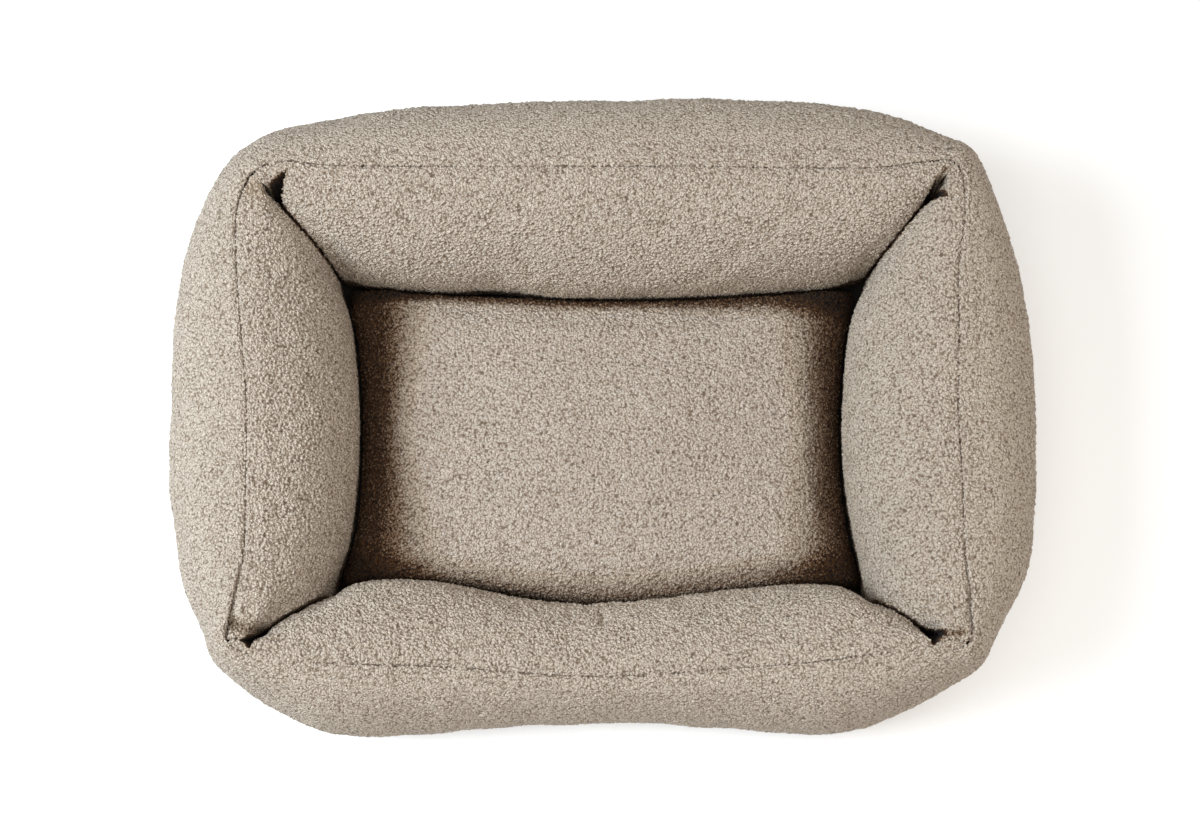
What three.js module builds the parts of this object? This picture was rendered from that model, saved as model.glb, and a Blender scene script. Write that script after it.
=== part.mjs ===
// A dog bed: four stuffed bolsters in a rectangle round a crowned mattress, in one boucle cloth.
// Millimetres, +Z up, +X along the long side, +Y towards the back wall.
// The origin is on the floor, under the middle of the bed.

import * as THREE from 'three';
import { mergeVertices } from 'three/addons/utils/BufferGeometryUtils.js';

// Driving sizes
const BASE_THICK = 4;          // canvas underside
const BASE_LIP = 2.4;          // how far the underside stands out past the foot of the wall
const SEAT_GAP = 0.3;          // between pieces that touch
const CLOTH_THICK = 2.5;       // boucle cloth of the outer band
const SEAT = BASE_THICK + SEAT_GAP;

// The wall's section: rim seam on top, a bulge to each side, a flat foot
const INNER_BULGE_Z = 100;     // height at which the inner panels reach furthest in
const ROUND_OUTER = 1.9;       // superellipse power of the outer panel, 2 is round
const ROUND_INNER = 2.05;
const ROUND_FOOT = 2.3;
const FOOT_TUCK = 35;          // how far the foot lies under the bulge ...
const FOOT_TUCK_Z = 130;       // ... where the bulge is this high
const INNER_FOOT_TUCK = 16;    // the same on the inside of the wall
const UPPER_OUTER = [0, 15, 30, 45, 60, 75, 90];     // degrees round from the rim seam to the bulge
const UPPER_INNER = [0, 7, 14, 22, 33, 46, 60, 75, 90];
const LOWER = [0, 22.5, 45, 67.5, 90];               // from a bulge to the foot
const BOTTOM_STEPS = 2;
const SEAM_SINK = 2.5;         // the rim seam lies this much below the puffed cloth

// Where two walls meet, their ends are pulled in to a crease, with a small pit at its outer end
const CREASE_DEPTH = 15;
const CREASE_WIDTH = 30;
const CREASE_START = 10;       // from the rim seam
const CREASE_FULL = 34;
const PIT_DEPTH = 34;
const PIT_RADIUS = 17;
const PULL_TO = { reach: 0.4, z: 0.55 };   // the crease pulls to these shares of the reach and rim
const END_SPREAD = 0.2;        // sections near a wall's end stay this far apart at its mitre plane
const END_SPREAD_SECTIONS = 4;

// Sections of the wall, one row each, anticlockwise round the rim. x, y: where the rim seam stands.
// inX, inY: where the inner bulge stands. rim: height of the seam. out: reach of the outer bulge from
// the seam, straight away from the inner one. outZ: its height. A wall's first row is its corner.
const COLUMNS = ['x', 'y', 'inX', 'inY', 'rim', 'out', 'outZ'];
const WALLS = [
  {
    name: 'left', steps: 26, pit: 17,
    rows: [
      [-362, 232, -284, 146, 220, 50, 140],
      [-376, 199, -284, 137, 217, 56, 137],
      [-377, 152, -281, 121, 212, 72, 134],
      [-370, 70, -273, 63, 205, 86, 131],
      [-363, 0, -268, 0, 200, 94, 130],
      [-360, -90, -269, -84, 200, 93, 130],
      [-360, -160, -276, -144, 200, 78, 128],
      [-369, -210, -283, -169, 200, 51, 120],
    ],
  },
  {
    name: 'front', steps: 36, pit: 24,
    rows: [
      [-372, -245, -285, -180, 200, 39, 98],
      [-330, -262, -276, -182, 197, 51, 70],
      [-269, -266, -246, -180, 190, 75, 60],
      [-171, -269, -163, -182, 178, 67, 56],
      [-5, -279, -5, -203, 167, 48, 50],
      [132, -271, 128, -192, 176, 61, 54],
      [218, -264, 204, -183, 188, 76, 58],
      [278, -256, 252, -182, 194, 73, 62],
      [330, -254, 271, -183, 196, 48, 75],
    ],
  },
  {
    name: 'right', steps: 26, pit: 32,
    rows: [
      [362, -247, 279, -182, 197, 36, 98],
      [366, -212, 279, -171, 200, 47, 118],
      [362, -157, 274, -139, 200, 79, 128],
      [362, -84, 265, -77, 200, 92, 130],
      [361, -13, 263, -13, 200, 96, 130],
      [364, 70, 269, 63, 205, 91, 131],
      [365, 140, 276, 116, 211, 80, 133],
      [372, 194, 283, 140, 217, 60, 137],
    ],
  },
  {
    name: 'back', steps: 38, pit: 22,
    rows: [
      [364, 244, 284, 150, 220, 46, 140],
      [336, 245, 277, 152, 220, 58, 140],
      [290, 240, 260, 150, 217, 82, 140],
      [221, 240, 208, 146, 213, 94, 140],
      [101, 243, 97, 140, 210, 97, 140],
      [0, 243, 0, 138, 210, 97, 140],
      [-107, 243, -102, 142, 210, 93, 140],
      [-210, 242, -198, 146, 213, 86, 140],
      [-290, 242, -261, 151, 217, 73, 140],
      [-333, 245, -278, 150, 219, 58, 140],
    ],
  },
];

// The mattress
const MATTRESS = { middleX: -2, halfX: 266, backY: 149, frontY: -178, corner: 18, sideZ: 36 };
const MATTRESS_BOW = { front: { deep: 21, power: 4 }, back: { deep: -12, power: 2 } };   // of its long sides
const MATTRESS_FLARE = 13;     // its short sides reach further out towards the corners
const MATTRESS_SHOULDER = { wide: 0.13, high: 44, power: 2.2 };       // wide: share of the half size
const MATTRESS_CROWN = 15;
const MATTRESS_ROUND = 96;
const MATTRESS_TOP = [0, 0.01, 0.03, 0.055, 0.085, 0.13, 0.2, 0.32, 0.5, 0.74];   // shares drawn in
const MATTRESS_BELOW = { steps: 3, tuck: 0.05 };

// Colours and finish of the cloths
const BOUCLE = { color: 0xb2a699, roughness: 0.95, metalness: 0 };
const BOUCLE_MATTRESS = { color: 0xb2a493, roughness: 0.95, metalness: 0 };
const CANVAS = { color: 0x2b2723, roughness: 0.85, metalness: 0 };

// The ring of sections as one smooth closed run: the rows at its ends are repeated past them
const rows = WALLS.flatMap((wall) => wall.rows);
const ringRows = [...rows, rows[0]];
const ringAt = [0];
for (let i = 1; i < ringRows.length; i++) {
  const step = Math.hypot(ringRows[i][0] - ringRows[i - 1][0], ringRows[i][1] - ringRows[i - 1][1]);
  ringAt.push(ringAt[i - 1] + step);
}
const ringLength = ringAt.at(-1);
const interpolant = new THREE.CubicInterpolant(
  Float32Array.from([ringAt[rows.length - 1] - ringLength, ...ringAt, ringLength + ringAt[1]]),
  Float32Array.from([rows.at(-1), ...ringRows, rows[1]].flat()),
  COLUMNS.length,
);

function sectionAt(distance) {
  const values = interpolant.evaluate(distance);
  const section = Object.fromEntries(COLUMNS.map((column, i) => [column, values[i]]));
  const outwards = new THREE.Vector2(section.x - section.inX, section.y - section.inY);
  section.reachIn = outwards.length();
  section.way = outwards.normalize();
  return section;
}

// Each wall runs from its own corner to the next wall's, with its sections closer at the ends
let firstRow = 0;
for (const wall of WALLS) {
  wall.from = ringAt[firstRow];
  firstRow += wall.rows.length;
  wall.to = ringAt[firstRow];
}
const END_CROWDING = 0.82;

function wallSections(wall) {
  const sections = [];
  for (let i = 0; i <= wall.steps; i++) {
    const t = i / wall.steps;
    const eased = t - (END_CROWDING * Math.sin(2 * Math.PI * t)) / (2 * Math.PI);
    sections.push(sectionAt(THREE.MathUtils.lerp(wall.from, wall.to, eased)));
  }
  return sections;
}

// The outline of a section: reach from the rim seam (outwards is positive) and height

function quarter(degrees, power, point) {
  return degrees.map((angle) => {
    const along = Math.sin(THREE.MathUtils.degToRad(angle)) ** (2 / power);
    const left = angle === 90 ? 0 : Math.cos(THREE.MathUtils.degToRad(angle)) ** (2 / power);
    return point(along, left);
  });
}

function footTuck(section) {
  return FOOT_TUCK * (section.outZ / FOOT_TUCK_Z) ** 3;
}

function outerLine(section) {
  const { rim, out, outZ } = section;
  const foot = out - footTuck(section);
  const upper = quarter(UPPER_OUTER, ROUND_OUTER, (along, left) => (
    new THREE.Vector2(out * along, outZ + (rim - outZ) * left)));
  const lower = quarter(LOWER, ROUND_FOOT, (along, left) => (
    new THREE.Vector2(foot + (out - foot) * left, outZ - (outZ - SEAT) * along)));
  upper[0].y -= SEAM_SINK;
  return [...upper, ...lower.slice(1)];
}

function innerLine(section) {
  const { rim, reachIn } = section;
  const upper = quarter(UPPER_INNER, ROUND_INNER, (along, left) => (
    new THREE.Vector2(-reachIn * along, INNER_BULGE_Z + (rim - INNER_BULGE_Z) * left)));
  const lower = quarter(LOWER, ROUND_FOOT, (along, left) => {
    const z = INNER_BULGE_Z - (INNER_BULGE_Z - SEAT) * along;
    return new THREE.Vector2(-reachIn + INNER_FOOT_TUCK * (1 - left), z);
  });
  upper[0].y -= SEAM_SINK;
  return [...upper, ...lower.slice(1)];
}

// The same line moved towards the filling
function insetLine(line, depth) {
  return line.map((point, i) => {
    const before = line[Math.max(i - 1, 0)];
    const after = line[Math.min(i + 1, line.length - 1)];
    const run = after.clone().sub(before).normalize();
    const moved = point.clone().add(new THREE.Vector2(run.y, -run.x).multiplyScalar(depth));
    moved.y = Math.max(moved.y, SEAT);
    return moved;
  });
}

function bandOutline(section) {
  const outside = outerLine(section);
  outside[0].x = SEAT_GAP;
  const inside = insetLine(outside, CLOTH_THICK);
  inside[0].set(SEAT_GAP, outside[0].y - CLOTH_THICK);
  inside.at(-1).set(outside.at(-1).x - CLOTH_THICK, SEAT);
  return [...outside, ...inside.reverse()];
}

function bolsterOutline(section) {
  const outside = outerLine(section);
  const covered = insetLine(outside, CLOTH_THICK + SEAT_GAP);
  covered[0].set(0, outside[0].y - CLOTH_THICK - SEAT_GAP);
  covered.at(-1).set(outside.at(-1).x - CLOTH_THICK - SEAT_GAP, SEAT);
  const open = innerLine(section);
  const bottom = [];
  for (let i = 1; i < BOTTOM_STEPS; i++) {
    bottom.push(covered.at(-1).clone().lerp(open.at(-1), i / BOTTOM_STEPS));
  }
  return [...covered, ...bottom, ...open.reverse()];
}

// Corners

function cornerOf(wallIndex) {
  const wall = WALLS[wallIndex % WALLS.length];
  const section = sectionAt(wall.from);
  const seam = new THREE.Vector2(section.x, section.y);
  const pit = seam.clone().addScaledVector(section.way, -wall.pit);
  return { seam, pit, across: new THREE.Vector2(-section.way.y, section.way.x) };
}

const corners = WALLS.map((wall, i) => cornerOf(i));

// Holds a point of a wall on its own side of a corner's mitre plane
function keptApart(point, corner, side, gap) {
  const { seam, across } = corner;
  const apart = side * ((point.x - seam.x) * across.x + (point.y - seam.y) * across.y);
  const short = Math.max(gap - apart, 0) * side;
  point.x += across.x * short;
  point.y += across.y * short;
}

// Pulls the inner cloth in towards the filling beside a crease, and down into the pit
function tucked(point, reach, section, corner) {
  const { seam, pit, across } = corner;
  const plan = new THREE.Vector2(point.x, point.y);
  const away = Math.abs(plan.clone().sub(seam).dot(across));
  const near = Math.max(1 - away / CREASE_WIDTH, 0) ** 2;
  const started = THREE.MathUtils.smoothstep(-reach, CREASE_START, CREASE_FULL);
  const depth = CREASE_DEPTH * near * started;
  const sideways = -section.reachIn * PULL_TO.reach - reach;
  const downwards = Math.min(section.rim * PULL_TO.z - point.z, 0);
  const pull = new THREE.Vector2(sideways, downwards).setLength(depth);
  const hollow = Math.max(1 - (plan.distanceTo(pit) / PIT_RADIUS) ** 2, 0) ** 2;
  const drop = reach < 0 && point.z > INNER_BULGE_Z ? PIT_DEPTH * hollow : 0;
  point.x += section.way.x * pull.x;
  point.y += section.way.y * pull.x;
  point.z += pull.y - drop;
}

// Geometry

function closedGeometry(geometry, place) {
  geometry.deleteAttribute('normal');
  geometry.deleteAttribute('uv');
  const position = geometry.getAttribute('position');
  const point = new THREE.Vector3();
  for (let i = 0; i < position.count; i++) {
    place(point.fromBufferAttribute(position, i));
    position.setXYZ(i, point.x, point.y, point.z);
  }
  const merged = mergeVertices(geometry, 1e-3);
  merged.computeVertexNormals();
  return merged;
}

function turnIndex(angle, steps) {
  return ((Math.round((angle / (2 * Math.PI)) * steps) % steps) + steps) % steps;
}

function placed(section, flat) {
  return new THREE.Vector3(
    section.x + section.way.x * flat.x,
    section.y + section.way.y * flat.x,
    flat.y,
  );
}

function bolsterGeometry(wallIndex) {
  const wall = WALLS[wallIndex];
  const sections = wallSections(wall);
  const ends = [corners[wallIndex], corners[(wallIndex + 1) % WALLS.length]];
  const loops = sections.map((section, i) => {
    const fromEnd = [i, wall.steps - i];
    return bolsterOutline(section).map((flat) => {
      const point = placed(section, flat);
      ends.forEach((corner, end) => {
        if (flat.x < 0) tucked(point, flat.x, section, corner);
        const gap = SEAT_GAP / 2 + END_SPREAD * Math.min(fromEnd[end], END_SPREAD_SECTIONS);
        keptApart(point, corner, end === 0 ? 1 : -1, gap);
      });
      return point;
    });
  });
  const points = loops[0].length;
  const cylinder = new THREE.CylinderGeometry(1, 1, 1, points, wall.steps);
  return closedGeometry(cylinder, (point) => {
    const loop = loops[Math.round((point.y + 0.5) * wall.steps)];
    const onAxis = Math.hypot(point.x, point.z) < 0.5;
    if (onAxis) {
      point.set(0, 0, 0);
      loop.forEach((vertex) => point.addScaledVector(vertex, 1 / points));
      return;
    }
    point.copy(loop[turnIndex(-Math.atan2(point.z, point.x), points)]);
  });
}

function bandGeometry() {
  const sections = WALLS.flatMap((wall) => wallSections(wall).slice(0, -1));
  const loops = sections.map((section) => bandOutline(section).map((flat) => placed(section, flat)));
  const around = sections.length;
  const points = loops[0].length;
  const torus = new THREE.TorusGeometry(2, 1, points, around);
  return closedGeometry(torus, (point) => {
    const loop = loops[turnIndex(Math.atan2(point.y, point.x), around)];
    const tube = Math.atan2(point.z, Math.hypot(point.x, point.y) - 2);
    point.copy(loop[turnIndex(-tube, points)]);
  });
}

function baseGeometry() {
  const outline = WALLS.flatMap((wall) => wallSections(wall).slice(0, -1)).map((section) => {
    const reach = section.out - footTuck(section) + BASE_LIP;
    return new THREE.Vector2(section.x + section.way.x * reach, section.y + section.way.y * reach);
  });
  const geometry = new THREE.ExtrudeGeometry(new THREE.Shape(outline), {
    depth: BASE_THICK,
    bevelEnabled: false,
  });
  return closedGeometry(geometry, () => {});
}

// The mattress is a nearly square-cornered superellipse in plan, level over level
function mattressGeometry() {
  const { middleX, halfX, backY, frontY, corner, sideZ } = MATTRESS;
  const { wide, high, power } = MATTRESS_SHOULDER;
  const middleY = (backY + frontY) / 2;
  const halfY = (backY - frontY) / 2;
  const levels = [];
  for (let i = 0; i < MATTRESS_BELOW.steps; i++) {
    const angle = (i / MATTRESS_BELOW.steps) * (Math.PI / 2);
    const drawn = MATTRESS_BELOW.tuck * (1 - Math.sin(angle));
    levels.push({ drawn, z: sideZ - (sideZ - SEAT) * Math.cos(angle) });
  }
  for (const drawn of MATTRESS_TOP) {
    const shoulder = Math.min(drawn / wide, 1);
    const rise = high * (1 - (1 - shoulder) ** power) ** (1 / power);
    levels.push({ drawn, z: sideZ + rise + MATTRESS_CROWN * Math.sin(drawn * (Math.PI / 2)) });
  }
  const topZ = sideZ + high + MATTRESS_CROWN;
  const rings = levels.length + 1;
  const sphere = new THREE.SphereGeometry(1, MATTRESS_ROUND, rings);
  return closedGeometry(sphere, (point) => {
    const ring = Math.round((Math.acos(THREE.MathUtils.clamp(point.y, -1, 1)) / Math.PI) * rings);
    const turn = Math.atan2(-point.z, point.x);
    if (ring === 0) {
      point.set(middleX, middleY, topZ);
      return;
    }
    if (ring === rings) {
      point.set(middleX, middleY, SEAT);
      return;
    }
    const { drawn, z } = levels[levels.length - ring];
    const cos = Math.cos(turn);
    const sin = Math.sin(turn);
    const reach = (Math.abs(cos) ** corner + Math.abs(sin) ** corner) ** (-1 / corner);
    const x = (1 - drawn) * reach * cos;
    const y = (1 - drawn) * reach * sin;
    const side = sin < 0 ? MATTRESS_BOW.front : MATTRESS_BOW.back;
    const bow = side.deep * Math.cos(x * (Math.PI / 2)) ** side.power;
    const flare = MATTRESS_FLARE * y ** 2;
    point.set(middleX + (halfX + flare) * x, middleY + (halfY + bow) * y, z);
  });
}

// The bed

function piece(name, geometry, look) {
  const mesh = new THREE.Mesh(geometry, new THREE.MeshStandardMaterial(look));
  mesh.name = name;
  return mesh;
}

const bed = new THREE.Group();
bed.add(piece('base_panel', baseGeometry(), CANVAS));
bed.add(piece('outer_band', bandGeometry(), BOUCLE));
WALLS.forEach((wall, i) => bed.add(piece(`bolster_${wall.name}`, bolsterGeometry(i), BOUCLE)));
bed.add(piece('mattress', mattressGeometry(), BOUCLE_MATTRESS));

export default bed;
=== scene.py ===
import math

import bmesh
import bpy
import numpy as np
from mathutils import Matrix, Vector, bvhtree, kdtree


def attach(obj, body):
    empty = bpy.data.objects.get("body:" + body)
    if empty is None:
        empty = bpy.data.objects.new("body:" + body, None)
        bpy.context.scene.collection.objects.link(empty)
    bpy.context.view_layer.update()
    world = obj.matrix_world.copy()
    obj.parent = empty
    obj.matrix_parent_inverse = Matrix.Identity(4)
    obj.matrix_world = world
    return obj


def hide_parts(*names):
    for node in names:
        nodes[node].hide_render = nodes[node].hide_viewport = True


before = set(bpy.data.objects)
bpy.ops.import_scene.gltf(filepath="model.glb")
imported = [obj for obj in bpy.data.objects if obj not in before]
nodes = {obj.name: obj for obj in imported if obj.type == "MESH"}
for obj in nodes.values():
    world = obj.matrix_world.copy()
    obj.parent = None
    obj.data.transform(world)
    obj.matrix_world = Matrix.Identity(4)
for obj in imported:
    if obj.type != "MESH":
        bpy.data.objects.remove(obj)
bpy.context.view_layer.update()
scene = bpy.context.scene

MM = 0.001

# Camera of the photograph: above the bed, tilted a little towards the back wall
camera_data = bpy.data.cameras.new("photo_camera")
camera_data.lens = 45
camera_data.sensor_width = 36
camera_data.sensor_fit = "HORIZONTAL"
camera = bpy.data.objects.new("photo_camera", camera_data)
camera.location = (-0.003, -0.284, 1.697)
camera.rotation_euler = (math.radians(10), 0, 0)
scene.collection.objects.link(camera)
scene.camera = camera

# The wall's sections as in the part's source, anticlockwise round the rim, in millimetres: x and y of
# the rim seam, x and y of the inner bulge, height of the seam, reach and height of the outer bulge
SECTIONS = (
    (-362, 232, -284, 146, 220, 50, 140),
    (-376, 199, -284, 137, 217, 56, 137),
    (-377, 152, -281, 121, 212, 72, 134),
    (-370, 70, -273, 63, 205, 86, 131),
    (-363, 0, -268, 0, 200, 94, 130),
    (-360, -90, -269, -84, 200, 93, 130),
    (-360, -160, -276, -144, 200, 78, 128),
    (-369, -210, -283, -169, 200, 51, 120),
    (-372, -245, -285, -180, 200, 39, 98),
    (-330, -262, -276, -182, 197, 51, 70),
    (-269, -266, -246, -180, 190, 75, 60),
    (-171, -269, -163, -182, 178, 67, 56),
    (-5, -279, -5, -203, 167, 48, 50),
    (132, -271, 128, -192, 176, 61, 54),
    (218, -264, 204, -183, 188, 76, 58),
    (278, -256, 252, -182, 194, 73, 62),
    (330, -254, 271, -183, 196, 48, 75),
    (362, -247, 279, -182, 197, 36, 98),
    (366, -212, 279, -171, 200, 47, 118),
    (362, -157, 274, -139, 200, 79, 128),
    (362, -84, 265, -77, 200, 92, 130),
    (361, -13, 263, -13, 200, 96, 130),
    (364, 70, 269, 63, 205, 91, 131),
    (365, 140, 276, 116, 211, 80, 133),
    (372, 194, 283, 140, 217, 60, 137),
    (364, 244, 284, 150, 220, 46, 140),
    (336, 245, 277, 152, 220, 58, 140),
    (290, 240, 260, 150, 217, 82, 140),
    (221, 240, 208, 146, 213, 94, 140),
    (101, 243, 97, 140, 210, 97, 140),
    (0, 243, 0, 138, 210, 97, 140),
    (-107, 243, -102, 142, 210, 93, 140),
    (-210, 242, -198, 146, 213, 86, 140),
    (-290, 242, -261, 151, 217, 73, 140),
    (-333, 245, -278, 150, 219, 58, 140),
)
WALLS = ("left", "front", "right", "back")
# The row of SECTIONS at the corner where each wall begins
FIRST_ROWS = (0, 8, 17, 25)
# At each corner of the rim a pit is left where the walls' cloth meets: a triangle in plan, in
# millimetres. The lip in front of it reaches this far in from the seam's corner, and the crease
# behind it lies this far aside from the straight mitre.
PITS = (
    ((-345, 218), (-330, 230), (-336, 210)),
    ((-355, -244), (-350, -248), (-345, -237)),
    ((323, -232), (338, -236), (328, -245)),
    ((345, 224), (352, 210), (338, 210)),
)
LIPS = (20 * MM, 24 * MM, 32 * MM, 20 * MM)
CREASE_SHIFTS = (-2 * MM, 9.5 * MM, -11 * MM, -2 * MM)
# Small folds, in millimetres: both ends in plan, half width, depth, and how much shade is painted in
# them
FOLDS = (
    ((-364, 219), (-357, 213), 9, 4, 0.25),
    ((-370, -227), (-345, -235), 6, 7, 0.55),
    ((338, -238), (357, -236), 3, 4, 0.7),
    ((345, 222), (354, 238), 2, 4, 0.6),
    ((-36, -202), (-33, -219), 3.5, 4.5, 0.1),
    ((-17, -202), (-15, -212), 3, 3, 0.05),
    ((-4, -202), (1, -224), 4, 5.5, 0.1),
)
# Height of the walls' foot over the floor, thickness of the boucle cloth, and the gap at a seam
SEAT = 4.3 * MM
CLOTH_THICK = 2.5 * MM
SEAT_GAP = 0.3 * MM
INNER_BULGE_Z = 100 * MM
# How square the wall's quarter rounds are, 2 being a circle's
ROUND_OUTER = 1.9
ROUND_INNER = 2.05
ROUND_FOOT = 2.3
# The foot is tucked in this far under an outer bulge at this height
FOOT_TUCK = 35 * MM
FOOT_TUCK_Z = 130 * MM
# Points closer than this are one point
SAME_PLACE = 0.01 * MM

rows = np.array(SECTIONS) * MM
steps = np.hypot(*(np.roll(rows, -1, axis=0) - rows)[:, :2].T)
knots = np.concatenate(([0], np.cumsum(steps)))
RIM_LENGTH = knots[-1]


def sections_at(distances):
    """The sections at these distances along the rim seam, one row each"""
    along = np.mod(distances, RIM_LENGTH)
    i = np.clip(np.searchsorted(knots, along, side="right") - 1, 0, len(rows) - 1)
    after = (i + 1) % len(rows)
    share = ((along - knots[i]) / steps[i])[:, None]
    before_weight = (steps[i] / steps[i - 1] / 2)[:, None]
    after_weight = (steps[i] / steps[after] / 2)[:, None]
    square = share ** 2
    cube = share ** 3
    return (
        before_weight * (2 * square - cube - share) * rows[i - 1]
        + ((1 + before_weight) * cube - (1.5 + 2 * before_weight) * square
           + (before_weight - 0.5) * share + 1) * rows[i]
        + ((1.5 + after_weight) * square - (1 + after_weight) * cube + 0.5 * share) * rows[after]
        + after_weight * (cube - square) * rows[(i + 2) % len(rows)]
    )


def ways_of(sections):
    """Unit vectors in plan, straight outwards from the inner bulge through the rim seam"""
    outwards = sections[:, :2] - sections[:, 2:4]
    return outwards / np.linalg.norm(outwards, axis=1)[:, None]


def smoothstep(value, low, high):
    """0 up to low, 1 from high on, and a soft step between them"""
    share = np.clip((value - low) / (high - low), 0, 1)
    return share * share * (3 - 2 * share)


def fading(value, low, high):
    """1 up to low and 0 from high on, which are in millimetres though the value is in metres"""
    return 1 - smoothstep(value, low * MM, high * MM)


def growing(value, low, high):
    """0 up to low and 1 from high on, which are in millimetres though the value is in metres"""
    return smoothstep(value, low * MM, high * MM)


def bell(distance, width):
    """1 at no distance, and softly down to 0 over this width and somewhat more"""
    return np.exp(-(distance / width) ** 2)


def soft_waves(distances, shortest, longest, seed):
    """Soft random waves that close round the rim, mostly within -1 to 1"""
    random = np.random.default_rng(seed)
    count = 14
    turns = random.integers(int(RIM_LENGTH / longest), int(RIM_LENGTH / shortest) + 1, count)
    phases = random.uniform(0, 2 * math.pi, count)
    angles = 2 * math.pi * np.outer(distances / RIM_LENGTH, turns) + phases
    return np.sin(angles).sum(axis=1) / math.sqrt(count)


def soft_lumps(points, size, seed):
    """Soft random swells in space, mostly within -1 to 1"""
    random = np.random.default_rng(seed)
    count = 16
    ways = random.normal(size=(count, 3))
    ways /= np.linalg.norm(ways, axis=1)[:, None]
    lengths = size * random.uniform(0.7, 1.6, count)
    phases = random.uniform(0, 2 * math.pi, count)
    angles = 2 * math.pi * (points @ ways.T) / lengths + phases
    return np.sin(angles).sum(axis=1) / math.sqrt(count)


def seam_puckers(along):
    """Puckers along the rim seam, the same in the cloth on both sides of it"""
    return soft_waves(along, 14 * MM, 45 * MM, seed=11)


# The rim seam as close points, to find what part of the wall a point belongs to
RIM_STEP = 1.5 * MM
rim_distances = np.arange(0, RIM_LENGTH, RIM_STEP)
rim_sections = sections_at(rim_distances)
rim_ways = ways_of(rim_sections)
rim_tree = kdtree.KDTree(len(rim_distances))
for index, section in enumerate(rim_sections):
    rim_tree.insert((section[0], section[1], section[4]), index)
rim_tree.balance()

corner_sections = rows[list(FIRST_ROWS)]
corner_ways = ways_of(corner_sections)
corner_across = np.stack((-corner_ways[:, 1], corner_ways[:, 0]), axis=1)


def corners_of(index):
    """The two corners that a wall runs between"""
    return index, (index + 1) % len(WALLS)


def from_corner(points, corner):
    """How far points lie inwards from the seam's corner in plan, and aside from its mitre"""
    offset = points[:, :2] - corner_sections[corner, :2]
    return -(offset @ corner_ways[corner]), offset @ corner_across[corner]


def beside_rim(points):
    """For each point the nearest index on the rim seam, and its reach outwards from it in plan"""
    nearest = np.array([rim_tree.find(point)[1] for point in points])
    offset = points[:, :2] - rim_sections[nearest, :2]
    return nearest, (offset * rim_ways[nearest]).sum(axis=1)


def inside_by(points, triangle):
    """How far inside a triangle points are in plan, below 0 outside it"""
    corners = np.array(triangle) * MM
    depths = []
    for start, end in zip(corners, np.roll(corners, -1, axis=0)):
        way = (end - start) / np.linalg.norm(end - start)
        across = np.array((-way[1], way[0]))
        across *= np.sign((corners.mean(axis=0) - start) @ across)
        depths.append((points[:, :2] - start) @ across)
    return np.minimum.reduce(depths)


def from_line(points, start, end):
    """How far points are in plan from a short straight line"""
    start = np.array(start) * MM
    way = np.array(end) * MM - start
    share = np.clip((points[:, :2] - start) @ way / (way @ way), 0, 1)
    return np.linalg.norm(points[:, :2] - start - share[:, None] * way, axis=1)


def outer_height(section, reach):
    """Height of the outer panel at this reach from the rim seam, up to its bulge"""
    share = np.clip(reach / section[:, 5], 0, 1)
    rise = (1 - share ** ROUND_OUTER) ** (1 / ROUND_OUTER)
    return section[:, 6] + (section[:, 4] - section[:, 6]) * rise


def inner_height(section, reach):
    """Height of the inner panel at this reach from the rim seam, inwards being negative"""
    depth = np.linalg.norm(section[:, :2] - section[:, 2:4], axis=1)
    share = np.clip(-reach / depth, 0, 1)
    rise = (1 - share ** ROUND_INNER) ** (1 / ROUND_INNER)
    return INNER_BULGE_Z + (section[:, 4] - INNER_BULGE_Z) * rise


# Meshes

def points_of(mesh):
    flat = np.empty(len(mesh.vertices) * 3)
    mesh.vertices.foreach_get("co", flat)
    return flat.reshape(-1, 3)


def normals_of(mesh):
    flat = np.empty(len(mesh.vertices) * 3)
    mesh.vertex_normals.foreach_get("vector", flat)
    return flat.reshape(-1, 3)


def place_points(mesh, points):
    mesh.vertices.foreach_set("co", points.ravel())
    mesh.update()


def new_piece(name, shape):
    mesh = bpy.data.meshes.new(name)
    shape.to_mesh(mesh)
    shape.free()
    piece = bpy.data.objects.new(name, mesh)
    scene.collection.objects.link(piece)
    return piece


def settle(piece):
    """Makes what the modifiers show the piece's own mesh"""
    graph = bpy.context.evaluated_depsgraph_get()
    mesh = bpy.data.meshes.new_from_object(
        piece.evaluated_get(graph), preserve_all_data_layers=True, depsgraph=graph)
    piece.modifiers.clear()
    piece.data = mesh
    mesh.name = piece.name


def copy_of_node(node, name):
    """A CAD solid's form as one closed mesh, with its facets rounded off"""
    shape = bmesh.new()
    shape.from_mesh(nodes[node].data)
    bmesh.ops.remove_doubles(shape, verts=shape.verts, dist=SAME_PLACE)
    bmesh.ops.join_triangles(
        shape, faces=shape.faces, angle_face_threshold=math.radians(60),
        angle_shape_threshold=math.radians(180))
    piece = new_piece(name, shape)
    rounding = piece.modifiers.new("rounding", "SUBSURF")
    rounding.levels = 2
    rounding.render_levels = 2
    return piece


def make_even(piece, voxel):
    """Covers a piece anew in square faces of one size"""
    evening = piece.modifiers.new("even faces", "REMESH")
    evening.mode = "VOXEL"
    evening.voxel_size = voxel
    evening.use_smooth_shade = True
    settle(piece)


def relax(shape, rounds):
    for _ in range(rounds):
        bmesh.ops.smooth_vert(
            shape, verts=shape.verts, factor=0.5,
            use_axis_x=True, use_axis_y=True, use_axis_z=True)


def relaxed(piece, rounds):
    shape = bmesh.new()
    shape.from_mesh(piece.data)
    relax(shape, rounds)
    shape.to_mesh(piece.data)
    shape.free()
    return piece


def edges_round(shape, chosen):
    """The edges of the faces chosen by a flag for each face"""
    return {edge for face, flag in zip(shape.faces, chosen) if flag for edge in face.edges}


def cut_up(shape, edges, cuts):
    bmesh.ops.subdivide_edges(shape, edges=list(edges), cuts=cuts, use_grid_fill=True)


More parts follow.
